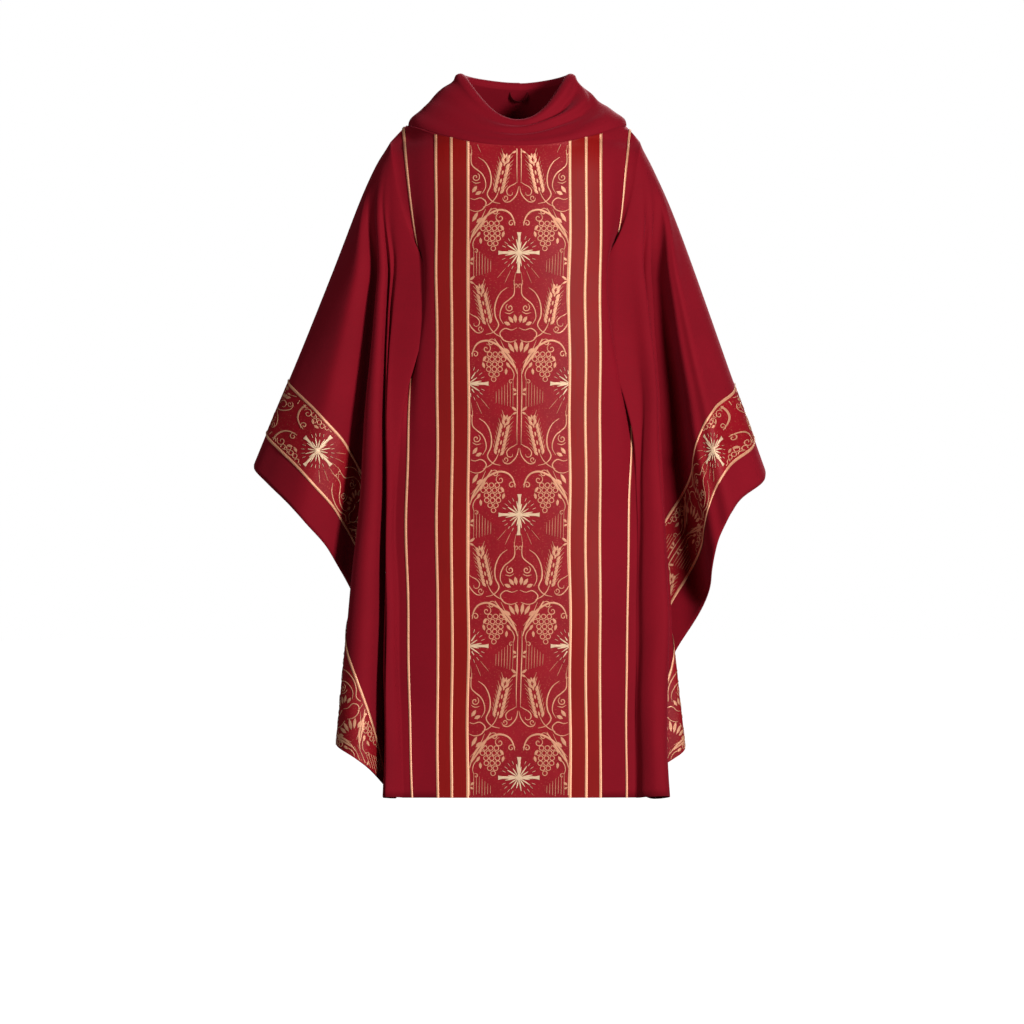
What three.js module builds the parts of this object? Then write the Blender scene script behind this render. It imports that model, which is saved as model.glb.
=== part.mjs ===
// An ample chasuble with a cowl collar, in the drape it has when it is worn.
// Millimetres, +Z up, the front faces -Y. Left and right are as seen from the front.
// The origin is the middle of the neck, level with the top of the shoulders.
import * as THREE from 'three';
import { mergeVertices } from 'three/addons/utils/BufferGeometryUtils.js';

// Cloth and trims: thickness of each layer, and the gap left between layers.
const CLOTH = 1.5;
const BROCADE = 0.8;
const BRAID = 0.6;
const TAPE = 0.8;
const GAP = 0.3;

// Neck seam, an oval that dips in front and rises a little behind.
const NECK_HALF_WIDTH = 200;
const NECK_FRONT = 125;
const NECK_FRONT_DIP = 44;
const NECK_BACK = 105;
const NECK_BACK_RISE = 15;

// Shoulders and wings, the parts of the cut that fall over the arms.
const SHOULDER_RUN = 35;
const SHOULDER_DROP = 30;
const SHOULDER_DEPTH = 60;
const CAP_HEIGHT = 90;
const FOLDS_DEEPEN = 320;
const WING_REACH = 650;
const WING_SLOPE = 20;

// Body of the garment.
const LENGTH = 1238;
const HEM_LIFT = 68;
const CHEST_FRONT = 150;
const CHEST_BACK = 120;
const HEM_FRONT = 205;
const HEM_BACK = 195;

// Orphrey, satin strips and gold lines, measured outwards from the centre line.
const ORPHREY_WIDTH = 192;
const BRAID_WIDTH = 5;
const LINE_1_OUT = 28;
const LINE_2_OUT = 28;
const OUTER_LINE_OUT = 58;

// Sleeve bands, measured inwards from the side edge.
const SIDE_MARGIN = 61;
const SLEEVE_BAND = 98;
const HEM_MARGIN = 24;
const HEM_BAND_END = 36;

// Collar, rolled over at the top. Heights are above the origin.
const COLLAR_HALF_WIDTH = 111;
const COLLAR_FRONT = 85;
const COLLAR_BACK = 78;
const COLLAR_SIDE_HEIGHT = 94;
const COLLAR_FRONT_HEIGHT = 7;
const COLLAR_BACK_HEIGHT = 84;
const COLLAR_ROLL = 12;
const COLLAR_BULGE = 9;
const COLLAR_SPACE = 12;
const NECK_TAPE = 14;
const LOOP_WIDTH = 36;
const LOOP_HEIGHT = 8;
const LOOP_TAPE = 8;

// Folds of one wing, from the shoulder fold in to the front. Each is a straight fold
// line that runs down from the shoulder point: its angle in the flat cut, below level,
// and how far it leans outwards and forwards for each millimetre that it drops.
const WING_FOLDS = [
  [20, 0.43, 0],
  [22, 0.43, 0.03],
  [25, 0.4, 0.065],
  [29, 0.345, 0.085],
  [33, 0.265, 0.095],
  [37, 0.18, 0.1],
  [41.5, 0.125, 0.09],
  [45, 0.092, 0.065],
  [48, 0.084, 0.035],
  [51, 0.086, 0.01],
  [54.5, 0.09, -0.008],
  [58, 0.09, -0.02],
  [61.5, 0.072, -0.025],
  [65, 0.035, -0.022],
  [69, 0.004, -0.01],
  [73, -0.004, 0.012],
  [77, 0.012, 0.035],
  [80, 0.026, 0.06],
  [83, 0.024, 0.09],
  [87, 0.005, 0.112],
  [90, -0.018, 0.112],
];

const CRIMSON = new THREE.MeshStandardMaterial({ color: 0x7f1524, roughness: 0.8, metalness: 0 });
const CRIMSON_INSIDE = new THREE.MeshStandardMaterial({ color: 0x5f0f1b, roughness: 0.85, metalness: 0 });
const SATIN = new THREE.MeshStandardMaterial({ color: 0x751a1a, roughness: 0.5, metalness: 0 });
const BROCADE_CLOTH = new THREE.MeshStandardMaterial({ color: 0xa03038, roughness: 0.6, metalness: 0.1 });
const GOLD_BRAID = new THREE.MeshStandardMaterial({ color: 0xc98a5c, roughness: 0.45, metalness: 0.5 });
const TAPE_CLOTH = new THREE.MeshStandardMaterial({ color: 0x4a0d16, roughness: 0.85, metalness: 0 });

const radians = THREE.MathUtils.degToRad;
const point = (x, y, z) => new THREE.Vector3(x, y, z);
const between = (a, b, share) => a.clone().lerp(b, share);

// ---------------------------------------------------------------- the hanging cloth

const FRONT = -1;
const BACK = 1;
const SHOULDER_X = NECK_HALF_WIDTH + SHOULDER_RUN - 7;
const orphreyEdge = ORPHREY_WIDTH / 2;
const line1 = orphreyEdge + LINE_1_OUT;
const line2 = line1 + LINE_2_OUT;
const outerLine = line2 + OUTER_LINE_OUT;
const wingEdge = WING_REACH * Math.cos(radians(WING_SLOPE));
const bandOuter = wingEdge - SIDE_MARGIN;
const bandInner = bandOuter - SLEEVE_BAND;
const bodyHalf = NECK_HALF_WIDTH + SHOULDER_RUN;
const hemRadius = LENGTH - SHOULDER_DROP + 10;

// Rows of the cloth from top to hem. The last five follow the sleeve band and its
// two braids on the wings, and keep the hem margins everywhere else.
const ROW = { top: 0, cap: 1, bandIn: 5, bandInBraid: 6, bandOutBraid: 7, bandOut: 8, hem: 9 };
const BAND_LINES = [
  [bandInner, HEM_MARGIN + HEM_BAND_END],
  [bandInner + BRAID_WIDTH, HEM_MARGIN + HEM_BAND_END - BRAID_WIDTH],
  [bandOuter - BRAID_WIDTH, HEM_MARGIN + BRAID_WIDTH],
  [bandOuter, HEM_MARGIN],
  [wingEdge, 0],
];

function hemDistance(angle) {
  const lift = HEM_LIFT * Math.pow((90 - angle) / 30, 1.3);
  return hemRadius - lift;
}

// Distances from the shoulder point at which one fold line crosses the rows.
function foldRows(angle) {
  const edge = Math.min(wingEdge / Math.cos(radians(angle)), hemDistance(angle));
  const lower = BAND_LINES.map(([across, margin]) =>
    Math.min(across / Math.cos(radians(angle)), edge - margin));
  const upper = [0.15, 0.35, 0.65].map((share) => CAP_HEIGHT + (lower[0] - CAP_HEIGHT) * share);
  return [...upper, ...lower];
}

// One fold line. It starts on the round cap of the shoulder, and the folds deepen
// below the cap until the line runs straight.
function foldLine([angle, out, forward], side, half) {
  const shoulder = point(half * SHOULDER_X, 0, -SHOULDER_DROP);
  const first = WING_FOLDS[0];
  const last = WING_FOLDS[WING_FOLDS.length - 1];
  const along = ([, leanOut, leanForward], distance, depth) => {
    const lean = point(half * leanOut, side * leanForward, -1).normalize();
    return lean.multiplyScalar(distance).add(shoulder).add(point(0, side * depth, 0));
  };
  const turn = (angle - first[0]) / (last[0] - first[0]) * Math.PI / 2;
  const round = (distance) => {
    const outside = along(first, distance, 0);
    const front = along(last, distance, SHOULDER_DEPTH);
    const x = THREE.MathUtils.lerp(front.x, outside.x, Math.cos(turn));
    const z = THREE.MathUtils.lerp(front.z, outside.z, Math.cos(turn));
    return point(x, front.y * Math.sin(turn), z);
  };
  const depth = SHOULDER_DEPTH * THREE.MathUtils.smoothstep(angle, first[0], WING_FOLDS[4][0]);
  const folded = (distance) => {
    const share = THREE.MathUtils.smoothstep(distance, CAP_HEIGHT, CAP_HEIGHT + FOLDS_DEEPEN);
    return round(distance).lerp(along([angle, out, forward], distance, depth), share);
  };
  const points = [shoulder, ...[CAP_HEIGHT, ...foldRows(angle)].map(folded)];
  return { side, place: half * (bodyHalf + 90 - angle), points };
}

function neckPoint(x, side) {
  const turn = Math.sqrt(Math.max(0, 1 - (x / NECK_HALF_WIDTH) ** 2));
  const depth = side === FRONT ? NECK_FRONT : NECK_BACK;
  const height = side === FRONT ? -NECK_FRONT_DIP : NECK_BACK_RISE;
  return point(x, side * depth * turn, height * turn * turn);
}

function topPoint(x, side) {
  const beyond = (Math.abs(x) - NECK_HALF_WIDTH) / SHOULDER_RUN;
  if (beyond <= 0) return neckPoint(x, side);
  const neck = point(Math.sign(x) * NECK_HALF_WIDTH, 0, 0);
  return between(neck, point(Math.sign(x) * SHOULDER_X, 0, -SHOULDER_DROP), beyond);
}

// A line of the body, between the two shoulder points.
function bodyLine(x, side) {
  const half = Math.sign(x) || 1;
  const wing = foldLine(WING_FOLDS[WING_FOLDS.length - 1], side, half).points;
  const share = Math.abs(x) / bodyHalf;
  const middle = Math.cos(share * Math.PI / 2);
  const chest = side * (side === FRONT ? CHEST_FRONT : CHEST_BACK);
  const hem = side * (side === FRONT ? HEM_FRONT : HEM_BACK);
  const wingCap = wing[ROW.cap];
  const wingHem = wing[ROW.hem];
  const inwards = (from) => x - half * (bodyHalf - Math.abs(from.x)) * share ** 4;
  const cap = point(
    inwards(wingCap),
    THREE.MathUtils.lerp(wingCap.y, chest, middle),
    wingCap.z - (NECK_FRONT_DIP / 2) * middle,
  );
  const foot = point(
    inwards(wingHem),
    THREE.MathUtils.lerp(wingHem.y, hem, middle),
    THREE.MathUtils.lerp(wingHem.z, -LENGTH, middle),
  );
  const wingRows = foldRows(90);
  const fall = wingRows[wingRows.length - 1] - CAP_HEIGHT;
  const below = wingRows.map((distance) => between(cap, foot, (distance - CAP_HEIGHT) / fall));
  return { side, place: x, points: [topPoint(x, side), cap, ...below] };
}

// Distances from the centre at which body lines run: both edges of every braid, the
// neck corner, and enough lines between them for a round neck.
function bodyPlaces() {
  const edges = [0, NECK_HALF_WIDTH, NECK_HALF_WIDTH * 0.96];
  for (const edge of [orphreyEdge, line1 + BRAID_WIDTH / 2, line2 + BRAID_WIDTH / 2]) {
    edges.push(edge - BRAID_WIDTH, edge);
  }
  edges.push(outerLine - BRAID_WIDTH / 2, outerLine + BRAID_WIDTH / 2);
  edges.sort((a, b) => a - b);
  const places = [];
  for (let i = 0; i < edges.length - 1; i += 1) {
    const steps = Math.ceil((edges[i + 1] - edges[i]) / 48);
    for (let s = 0; s < steps; s += 1) places.push(edges[i] + (edges[i + 1] - edges[i]) * s / steps);
  }
  places.push(edges[edges.length - 1]);
  return places;
}

function halfOfPanel(side, half) {
  const body = bodyPlaces().map((x) => bodyLine(half * x, side));
  const wing = WING_FOLDS.map((fold) => foldLine(fold, side, half)).reverse();
  return [...body, ...wing];
}

// All lines in one ring: across the front from right to left, then across the back.
function panelLines(side) {
  const right = halfOfPanel(side, 1);
  const left = halfOfPanel(side, -1);
  return [...right.reverse(), ...left.slice(1)];
}
const frontLines = panelLines(FRONT);
const backLines = panelLines(BACK).reverse();
const ring = [...frontLines, ...backLines.slice(1, -1)];

// The collar's lines stand on the same places of the neck seam as the body's lines.
function collarLine(base) {
  const turn = Math.sqrt(Math.max(0, 1 - (base.x / NECK_HALF_WIDTH) ** 2));
  const front = base.y <= 0;
  const side = front ? FRONT : BACK;
  const low = (front ? COLLAR_FRONT_HEIGHT : COLLAR_BACK_HEIGHT) - COLLAR_ROLL;
  const height = THREE.MathUtils.lerp(COLLAR_SIDE_HEIGHT - COLLAR_ROLL, low, turn * turn);
  const across = COLLAR_HALF_WIDTH * base.x / NECK_HALF_WIDTH;
  const top = point(across, side * (front ? COLLAR_FRONT : COLLAR_BACK) * turn, height);
  const out = point(top.x, top.y, 0).normalize();
  const middle = top.clone().addScaledVector(out, -COLLAR_ROLL);
  const outer = [
    base,
    between(base, top, NECK_TAPE / base.distanceTo(top)).addScaledVector(out, 1),
    between(base, top, 0.55).addScaledVector(out, COLLAR_BULGE),
  ];
  for (const angle of [0, 45, 90, 135, 180]) {
    outer.push(middle.clone()
      .addScaledVector(out, COLLAR_ROLL * Math.cos(radians(angle)))
      .add(point(0, 0, COLLAR_ROLL * Math.sin(radians(angle)))));
  }
  const inward = point(base.x, base.y, 0).normalize().multiplyScalar(-COLLAR_SPACE);
  const foot = base.clone().add(inward).add(point(0, 0, 2));
  const rim = outer[outer.length - 1].clone();
  const inner = [rim, between(rim, foot, 0.5).addScaledVector(out, COLLAR_BULGE / 2), foot];
  return { outer, inner };
}
const neckRing = ring.filter((line) => Math.abs(line.place) <= NECK_HALF_WIDTH + 1e-6
  && !(line.side === BACK && Math.abs(line.place) > NECK_HALF_WIDTH - 1e-6));
const collar = neckRing.map((line) => collarLine(line.points[ROW.top]));

// ---------------------------------------------------------------- layers of cloth

const key = (p) => p.toArray().map((value) => Math.round(value * 100)).join(' ');

// Outward directions at every point of a set of lines, shared where lines meet.
function addFaces(directions, lines) {
  const count = lines.length;
  const face = (a, b, c) => {
    const normal = b.clone().sub(a).cross(c.clone().sub(a));
    for (const p of [a, b, c]) {
      if (!directions.has(key(p))) directions.set(key(p), point(0, 0, 0));
      directions.get(key(p)).add(normal);
    }
  };
  for (let i = 0; i < count; i += 1) {
    const here = lines[i];
    const next = lines[(i + 1) % count];
    for (let j = 0; j < here.length - 1; j += 1) {
      face(here[j], next[j], next[j + 1]);
      face(here[j], next[j + 1], here[j + 1]);
    }
  }
}
const directions = new Map();
addFaces(directions, ring.map((line) => line.points));
addFaces(directions, collar.map((line) => [...line.outer].reverse()));
addFaces(directions, collar.map((line) => [...line.inner].reverse()));

// A closed body between two depths of a block of lines. A depth is measured outwards
// from the face of the shell cloth. `ends` trims the first and last point of each line,
// and `side` trims the first and last line.
function layer(lines, { from, to, ends = [0, 0], side = 0, closed = false }) {
  const trimmed = (list) => {
    const last = list.length - 1;
    const start = ends[0] / list[0].distanceTo(list[1]);
    const stop = ends[1] / list[last].distanceTo(list[last - 1]);
    return list.map((p, j) => {
      if (j === 0 && ends[0] > 0) return between(p, list[1], start);
      if (j === last && ends[1] > 0) return between(p, list[last - 1], stop);
      return p;
    });
  };
  const neighbour = (i) => {
    if (side > 0 && i === 0) return trimmed(lines[1].points);
    if (side > 0 && i === lines.length - 1) return trimmed(lines[i - 1].points);
    return null;
  };
  const raised = (depth) => lines.map((line, i) => {
    const places = trimmed(line.points);
    const beside = neighbour(i);
    return places.map((p, j) => {
      const direction = directions.get(key(line.points[j])).clone().normalize();
      const moved = p.clone().addScaledVector(direction, depth);
      if (beside) moved.add(beside[j].clone().sub(p).setLength(side));
      if (line.seam && Math.abs(line.points[j].y) < 0.01) moved.y += line.seam * GAP / 2;
      return moved;
    });
  });
  const over = raised(to);
  const under = raised(from);
  const positions = [];
  const triangle = (a, b, c) => {
    const flat = b.clone().sub(a).cross(c.clone().sub(a)).length() < 1e-6;
    if (!flat) positions.push(...a.toArray(), ...b.toArray(), ...c.toArray());
  };
  const quad = (a, b, c, d) => {
    triangle(a, b, c);
    triangle(a, c, d);
  };
  const rows = lines[0].points.length;
  const spans = closed ? lines.length : lines.length - 1;
  for (let i = 0; i < spans; i += 1) {
    const n = (i + 1) % lines.length;
    for (let j = 0; j < rows - 1; j += 1) {
      quad(over[i][j], over[n][j], over[n][j + 1], over[i][j + 1]);
      quad(under[n][j + 1], under[n][j], under[i][j], under[i][j + 1]);
    }
    quad(under[i][0], under[n][0], over[n][0], over[i][0]);
    quad(over[i][rows - 1], over[n][rows - 1], under[n][rows - 1], under[i][rows - 1]);
  }
  if (!closed) {
    const last = lines.length - 1;
    for (let j = 0; j < rows - 1; j += 1) {
      quad(under[0][j], over[0][j], over[0][j + 1], under[0][j + 1]);
      quad(over[last][j], under[last][j], under[last][j + 1], over[last][j + 1]);
    }
  }
  const geometry = new THREE.BufferGeometry();
  geometry.setAttribute('position', new THREE.Float32BufferAttribute(positions, 3));
  const welded = mergeVertices(geometry, 1e-3);
  welded.computeVertexNormals();
  return welded;
}

const group = new THREE.Group();
function add(name, geometry, material) {
  const mesh = new THREE.Mesh(geometry, material);
  mesh.name = name;
  group.add(mesh);
  return mesh;
}

// The part of a panel between two places across it and two of its rows.
function block(side, low, high, firstRow, lastRow) {
  const panel = side === FRONT ? frontLines : backLines;
  return panel
    .filter((line) => line.place >= low - 1e-6 && line.place <= high + 1e-6)
    .map((line) => ({ seam: side, points: line.points.slice(firstRow, lastRow + 1) }));
}

const wingEnd = bodyHalf + 90 - WING_SLOPE;
const sideName = { [FRONT]: 'front', [BACK]: 'back' };
const halfName = { '-1': 'left', 1: 'right' };

function panel(side) {
  const lines = block(side, -wingEnd, wingEnd, ROW.top, ROW.hem);
  add(`${sideName[side]}_panel`, layer(lines, { from: -CLOTH, to: 0 }), CRIMSON);
}

// Trims that run from the neck seam or the shoulder down to the hem.
function longTrims(side) {
  const trim = (name, low, high, level, thickness, material) => {
    const lines = block(side, low, high, ROW.top, ROW.hem);
    const body = layer(lines, { from: level, to: level + thickness, ends: [2, 1], side: GAP / 2 });
    add(`${sideName[side]}_${name}`, body, material);
  };
  const onCloth = GAP;
  const onBrocade = GAP + BROCADE + GAP;
  trim('orphrey', -orphreyEdge, orphreyEdge, onCloth, BROCADE, BROCADE_CLOTH);
  for (const half of [-1, 1]) {
    const mirrored = (name, low, high, level, thickness, material) => {
      const ends = [half * low, half * high].sort((a, b) => a - b);
      trim(`${halfName[half]}_${name}`, ends[0], ends[1], level, thickness, material);
    };
    const half1 = line1 + BRAID_WIDTH / 2;
    const half2 = line2 + BRAID_WIDTH / 2;
    mirrored('orphrey_braid', orphreyEdge - BRAID_WIDTH, orphreyEdge, onBrocade, BRAID, GOLD_BRAID);
    mirrored('side_strip', orphreyEdge, half2, onCloth, BROCADE, SATIN);
    mirrored('strip_middle_braid', half1 - BRAID_WIDTH, half1, onBrocade, BRAID, GOLD_BRAID);
    mirrored('strip_edge_braid', half2 - BRAID_WIDTH, half2, onBrocade, BRAID, GOLD_BRAID);
    const low = outerLine - BRAID_WIDTH / 2;
    mirrored('outer_line_braid', low, low + BRAID_WIDTH, onCloth, BRAID, GOLD_BRAID);
  }
}

// A sleeve band follows the side edge from the shoulder until the hem cuts it off.
function sleeveBand(side, half) {
  const reach = (across, margin) => {
    const kept = WING_FOLDS.filter(([angle]) =>
      across / Math.cos(radians(angle)) < hemDistance(angle) - margin);
    return bodyHalf + 90 - kept[kept.length - 1][0];
  };
  const piece = (name, end, rows, level, thickness, material) => {
    const ends = [half * end, half * wingEnd].sort((a, b) => a - b);
    const lines = block(side, ends[0], ends[1], rows[0], rows[1]);
    const body = layer(lines, { from: level, to: level + thickness });
    add(`${sideName[side]}_${halfName[half]}_${name}`, body, material);
  };
  const innerEnd = reach(bandInner + BRAID_WIDTH, HEM_MARGIN + HEM_BAND_END);
  const outerEnd = reach(bandOuter, HEM_MARGIN);
  const onBrocade = GAP + BROCADE + GAP;
  piece('sleeve_band', innerEnd, [ROW.bandIn, ROW.bandOut], GAP, BROCADE, BROCADE_CLOTH);
  piece('sleeve_inner_braid', innerEnd, [ROW.bandIn, ROW.bandInBraid], onBrocade, BRAID, GOLD_BRAID);
  piece('sleeve_outer_braid', outerEnd, [ROW.bandOutBraid, ROW.bandOut], onBrocade, BRAID, GOLD_BRAID);
}

function hemFacing(side) {
  const lines = block(side, -wingEnd, wingEnd, ROW.bandOutBraid, ROW.hem);
  const under = -CLOTH - GAP;
  add(`${sideName[side]}_hem_facing`, layer(lines, { from: under - TAPE, to: under, ends: [0, 2] }), TAPE_CLOTH);
}

// A tape inside the shoulder fold, over the seam between the two panels.
function shoulderTape(half) {
  const near = (line) => line.place * half >= bodyHalf + 90 - WING_FOLDS[1][0] - 1e-6;
  const front = frontLines.filter(near);
  const back = backLines.filter(near);
  const fold = half > 0 ? [back[0], front[0], front[1]] : [front[0], front[1], back[1]];
  const lines = fold.map((line) => ({ points: line.points.slice(ROW.cap, ROW.bandOutBraid + 1) }));
  const under = -CLOTH - GAP;
  const body = layer(lines, { from: under - TAPE, to: under, ends: [0, GAP] });
  add(`${halfName[half]}_shoulder_tape`, body, TAPE_CLOTH);
}

function collarPieces() {
  const outer = collar.map((line) => ({ points: [...line.outer].reverse() }));
  const inner = collar.map((line) => ({ points: [...line.inner].reverse() }));
  const tape = collar.map((line) => ({ points: line.outer.slice(0, 2).reverse() }));
  add('collar_outer', layer(outer, { from: -CLOTH, to: 0, ends: [GAP, GAP], closed: true }), CRIMSON);
  add('collar_inner', layer(inner, { from: -CLOTH, to: 0, ends: [0, GAP], closed: true }), CRIMSON_INSIDE);
  const under = -CLOTH - GAP;
  add('neck_seam_tape', layer(tape, { from: under - TAPE, to: under, ends: [0, 2], closed: true }), TAPE_CLOTH);
}

// A loop of tape sewn flat inside the back of the collar, to hang the garment up.
function hangingLoop() {
  const centre = collar.find((line) => Math.abs(line.inner[0].x) < 1 && line.inner[0].y > 0);
  const [rim, middle] = centre.inner;
  const clear = 2 * GAP + COLLAR_BACK * (1 - Math.cos(Math.asin(LOOP_WIDTH / 2 / COLLAR_HALF_WIDTH)));
  const shape = new THREE.Shape();
  shape.absarc(0, 0, LOOP_WIDTH / 2, Math.PI, 0, false);
  shape.lineTo(LOOP_WIDTH / 2, LOOP_HEIGHT);
  shape.lineTo(LOOP_WIDTH / 2 - LOOP_TAPE, LOOP_HEIGHT);
  shape.lineTo(LOOP_WIDTH / 2 - LOOP_TAPE, 0);
  shape.absarc(0, 0, LOOP_WIDTH / 2 - LOOP_TAPE, 0, Math.PI, true);
  shape.lineTo(LOOP_TAPE - LOOP_WIDTH / 2, LOOP_HEIGHT);
  shape.lineTo(-LOOP_WIDTH / 2, LOOP_HEIGHT);
  const geometry = new THREE.ExtrudeGeometry(shape, { depth: TAPE, bevelEnabled: false, curveSegments: 8 });
  geometry.deleteAttribute('uv');
  geometry.deleteAttribute('normal');
  const loop = add('hanging_loop', mergeVertices(geometry, 1e-3), TAPE_CLOTH);
  const down = middle.clone().sub(rim).normalize();
  const facing = point(0, -1, 0).addScaledVector(down, down.y).normalize();
  const across = point(1, 0, 0);
  loop.quaternion.setFromRotationMatrix(new THREE.Matrix4().makeBasis(across, down.clone().negate(), facing));
  loop.position.copy(between(rim, middle, 0.4)).addScaledVector(facing, clear);
}

for (const side of [FRONT, BACK]) {
  panel(side);
  longTrims(side);
  for (const half of [-1, 1]) sleeveBand(side, half);
  hemFacing(side);
}
collarPieces();
for (const half of [-1, 1]) shoulderTape(half);
hangingLoop();

export default group;
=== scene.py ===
"""Red chasuble with a cowl collar, a brocade orphrey, gold braid lines and sleeve bands.

The cloth hangs as on a wearer. Every sheet is made from one hanging grid for the front
and one for the back. A place on the cut cloth is (across, down), in metres: across runs
from the centre line, positive to +X, and down from the neck.
"""

import math

import bpy
import numpy as np
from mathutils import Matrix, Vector


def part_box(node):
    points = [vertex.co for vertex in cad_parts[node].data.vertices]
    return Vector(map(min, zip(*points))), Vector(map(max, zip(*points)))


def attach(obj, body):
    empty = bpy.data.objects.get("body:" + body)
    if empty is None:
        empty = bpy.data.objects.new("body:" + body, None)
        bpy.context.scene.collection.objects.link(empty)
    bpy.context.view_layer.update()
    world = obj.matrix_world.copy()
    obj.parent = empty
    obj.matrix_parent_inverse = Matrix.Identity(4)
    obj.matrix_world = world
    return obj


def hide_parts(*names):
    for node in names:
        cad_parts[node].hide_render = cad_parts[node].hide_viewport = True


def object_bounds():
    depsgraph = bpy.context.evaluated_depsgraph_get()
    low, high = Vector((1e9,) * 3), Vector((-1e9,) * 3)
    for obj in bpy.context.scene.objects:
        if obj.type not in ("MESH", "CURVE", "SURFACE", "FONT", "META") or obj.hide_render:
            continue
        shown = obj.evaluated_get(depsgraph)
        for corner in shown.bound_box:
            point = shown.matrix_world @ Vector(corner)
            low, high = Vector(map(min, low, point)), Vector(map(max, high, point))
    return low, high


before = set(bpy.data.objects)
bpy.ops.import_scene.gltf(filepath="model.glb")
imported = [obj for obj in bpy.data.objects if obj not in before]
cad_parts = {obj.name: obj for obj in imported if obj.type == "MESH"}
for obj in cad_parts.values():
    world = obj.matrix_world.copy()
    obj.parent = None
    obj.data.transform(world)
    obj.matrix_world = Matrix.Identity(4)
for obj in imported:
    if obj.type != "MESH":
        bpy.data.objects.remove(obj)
cad_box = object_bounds()

# ------------------------------------------------------------------ the cut, in metres

FRONT, BACK = -1, 1
LEFT, RIGHT = -1, 1
CLOTH = 0.0015  # thickness
LENGTH = -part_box("front_panel")[0].z

# The neck seam and the shoulder. A wing is the part of the cloth beyond BODY_HALF, and it
# hangs from the shoulder point, which is given as (outwards, up).
NECK_HALF = {LEFT: 0.206, RIGHT: 0.200}
NECK = {FRONT: (0.125, -0.044), BACK: (0.105, 0.015)}  # depth and height at the middle
CHEST = {FRONT: (0.150, 0.205), BACK: (0.120, 0.195)}  # depth at the chest and the hem
SHOULDER = {LEFT: (0.242, -0.030), RIGHT: (0.227, -0.030)}
BODY_HALF = 0.235
FAN_TOP = 0.030  # the shoulder point, down from the neck in the cut
SHOULDER_DEPTH = 0.060
CAP = 0.070  # the round top of each wing
FOLDS_DEEPEN = 0.220  # the folds reach their full depth this far below the cap
FIRST, LAST = 20.0, 90.0  # angles of the shoulder line and of the last fold, in degrees

# The edges. FLARE is where the hem swings out (or in, below 0): (metres, degrees, width).
WING_EDGE = BODY_HALF + 0.6108
HEM_RADIUS = 1.218
HEM_LIFT = 0.105
FLARE = {LEFT: ((0.004, 59, 6),), RIGHT: ((0.012, 59, 6), (-0.017, 76, 5))}

# The trims. LINES are the middles of the braid lines beside the orphrey.
ORPHREY_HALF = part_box("front_orphrey")[1].x
BRAID = 0.005
LINES = (0.124, 0.152, 0.210)
BAND_IN, BAND_OUT = BODY_HALF + 0.4518, BODY_HALF + 0.5498

# How the wings' cloth hangs from the shoulder point: (degrees below level in the cut,
# lean outwards and lean forwards for each metre of drop). Small forward leans are
# valleys and large ones are the backs of folds.
HANG = {
    LEFT: (
        (20, 0.418, 0.000), (22, 0.408, 0.034), (25, 0.355, 0.068), (29, 0.277, 0.086),
        (33, 0.210, 0.084), (36.5, 0.152, 0.062), (39.5, 0.118, 0.026), (42, 0.092, -0.014),
        (44.5, 0.070, -0.038), (48, 0.052, -0.047), (52, 0.038, -0.047), (55.5, 0.046, -0.026),
        (58, 0.068, 0.026), (59.8, 0.080, 0.074), (61.5, 0.076, 0.110), (63.2, 0.054, 0.132),
        (65, 0.028, 0.124), (66.6, 0.012, 0.090), (67.8, 0.003, 0.052), (69, -0.004, 0.084),
        (71.3, 0.003, 0.112), (73.6, 0.001, 0.106), (75.3, -0.012, 0.090), (77.2, -0.013, 0.104),
        (81, 0.003, 0.124), (85, -0.010, 0.124), (90, -0.026, 0.112),
    ),
    RIGHT: (
        (20, 0.375, 0.000), (22, 0.370, 0.035), (25, 0.345, 0.070), (27.3, 0.285, 0.100),
        (31, 0.235, 0.114), (34.5, 0.200, 0.098), (38, 0.174, 0.090), (41, 0.158, 0.062),
        (43.2, 0.149, 0.030), (45.2, 0.132, -0.008), (47, 0.110, -0.034), (50, 0.066, -0.047),
        (54, 0.026, -0.047), (58, 0.044, -0.040), (62, 0.060, -0.006), (64, 0.034, 0.004),
        (67.5, 0.006, -0.006), (70.5, 0.012, 0.030), (72.8, 0.038, 0.072), (75, 0.054, 0.108),
        (77, 0.049, 0.128), (79.5, 0.030, 0.134), (83, 0.002, 0.124), (86, -0.008, 0.112),
        (90, -0.014, 0.108),
    ),
}
# The shoulder's round form pushes the top of each wing outwards: how much, and how far down.
SHOULDER_PUSH = {LEFT: (0.009, 0.08), RIGHT: (0.0095, 0.17)}


def smooth(value, low, high):
    share = np.clip((value - low) / (high - low), 0, 1)
    return share * share * (3 - 2 * share)


def spline(knots, values, at):
    """A smooth curve through the values, read at the given places."""
    knots = np.asarray(knots, float)
    values = np.asarray(values, float)
    slope = np.gradient(values, knots)
    place = np.clip(np.searchsorted(knots, at, side="right") - 1, 0, len(knots) - 2)
    span = knots[place + 1] - knots[place]
    t = np.clip((at - knots[place]) / span, 0, 1)
    return (
        (2 * t**3 - 3 * t**2 + 1) * values[place]
        + (t**3 - 2 * t**2 + t) * span * slope[place]
        + (3 * t**2 - 2 * t**3) * values[place + 1]
        + (t**3 - t**2) * span * slope[place + 1]
    )


def waves(a, b, seed, count, low, high):
    """Soft random unevenness, between -1 and 1, from a few crossing waves."""
    rng = np.random.default_rng(seed)
    total = np.zeros(np.broadcast(a, b).shape)
    for _ in range(count):
        pitch = rng.uniform(low, high)
        turn = rng.uniform(0, math.tau)
        start = rng.uniform(0, math.tau)
        total += np.sin((a * math.cos(turn) + b * math.sin(turn)) * math.tau / pitch + start)
    return total / count


# ---------------------------------------------------------------- the hanging shape


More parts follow.
